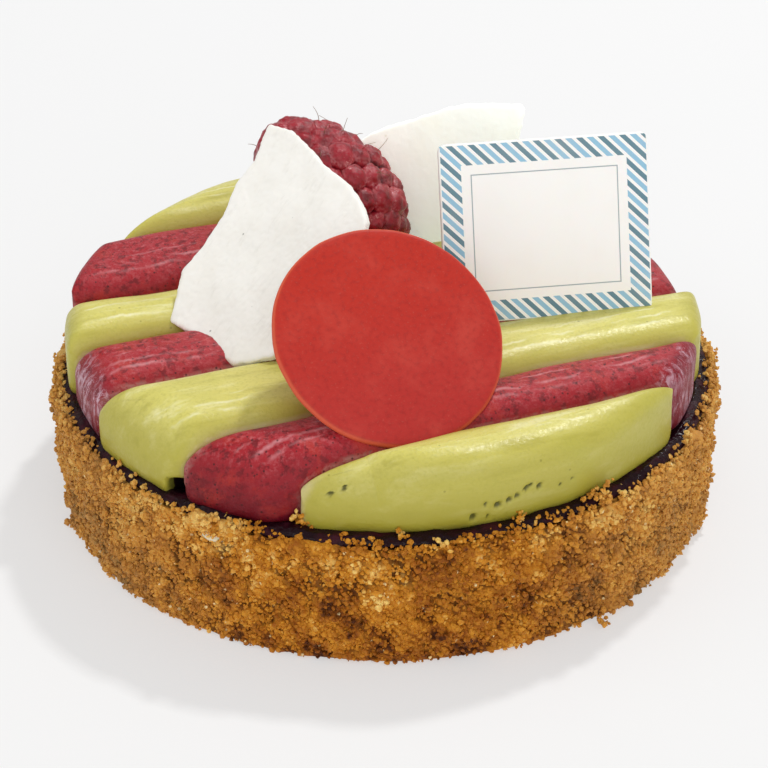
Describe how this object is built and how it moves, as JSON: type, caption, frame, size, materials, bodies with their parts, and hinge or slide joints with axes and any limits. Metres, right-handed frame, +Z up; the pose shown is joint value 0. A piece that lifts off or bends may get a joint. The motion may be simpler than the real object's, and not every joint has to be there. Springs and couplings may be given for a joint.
{
  "type": "raspberry tart",
  "caption": "Round single-serving tart with a crumb crust, rounded pistachio and raspberry ice bars in stripes, a whole raspberry, meringue shards, a red chocolate disc and a small plaque.",
  "frame": {"origin": "centre of the crust's flat underside", "axes": "+Z up, -Y towards the front of the picture's view, +X to its right"},
  "size_m": [0.0911, 0.0909, 0.0501],
  "materials": {
    "crumb_crust": "rough pressed biscuit crumb, golden brown",
    "cream": "soft pale cream",
    "jam": "glossy dark purple-black jam",
    "pistachio_ice": "smooth satin yellow-green ice cream",
    "raspberry_ice": "smooth satin raspberry sorbet with seeds and frost",
    "fresh_raspberry": "satin red drupelets with fine hairs",
    "meringue": "dry matte white meringue with fine specks",
    "red_chocolate": "satin mottled red chocolate",
    "white_chocolate": "satin ivory plaque with a printed border"
  },
  "bodies": {
    "root": {"crust": "crumb_crust", "cream_filling": "cream", "jam_layer": "jam", "pistachio_bar_1": "pistachio_ice", "raspberry_bar_1": "raspberry_ice", "pistachio_bar_2": "pistachio_ice", "raspberry_bar_2": "raspberry_ice", "pistachio_bar_3": "pistachio_ice", "raspberry_bar_3": "raspberry_ice", "pistachio_bar_4": "pistachio_ice", "raspberry": "fresh_raspberry", "meringue_shard_front": "meringue", "meringue_shard_back": "meringue", "chocolate_disc": "red_chocolate", "plaque": "white_chocolate"}
  },
  "joints": []
}
